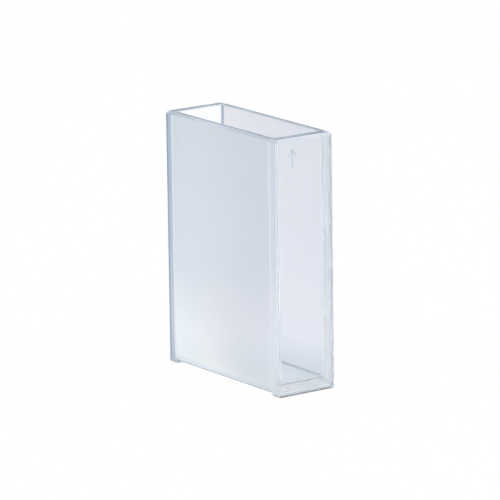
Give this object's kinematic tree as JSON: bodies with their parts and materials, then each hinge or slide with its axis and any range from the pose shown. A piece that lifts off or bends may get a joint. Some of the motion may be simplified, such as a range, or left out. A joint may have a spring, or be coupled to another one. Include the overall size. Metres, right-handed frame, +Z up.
{
  "type": "cuvette",
  "caption": "Rectangular open-top absorption cell with polished end windows, ground side plates and a raised floor.",
  "frame": {"origin": "on the bench plane, under the middle of the feet", "axes": "+Z up through the open mouth; +X along the light path, through both polished windows; Y across the ground side plates"},
  "size_m": [0.034, 0.0126, 0.047],
  "materials": {
    "polished_quartz": "optically polished",
    "ground_quartz": "fine ground, frosted"
  },
  "bodies": {
    "root": {"left_window": "polished_quartz", "right_window": "polished_quartz", "front_side_plate": "ground_quartz", "rear_side_plate": "ground_quartz", "floor_plate": "polished_quartz"}
  },
  "joints": []
}
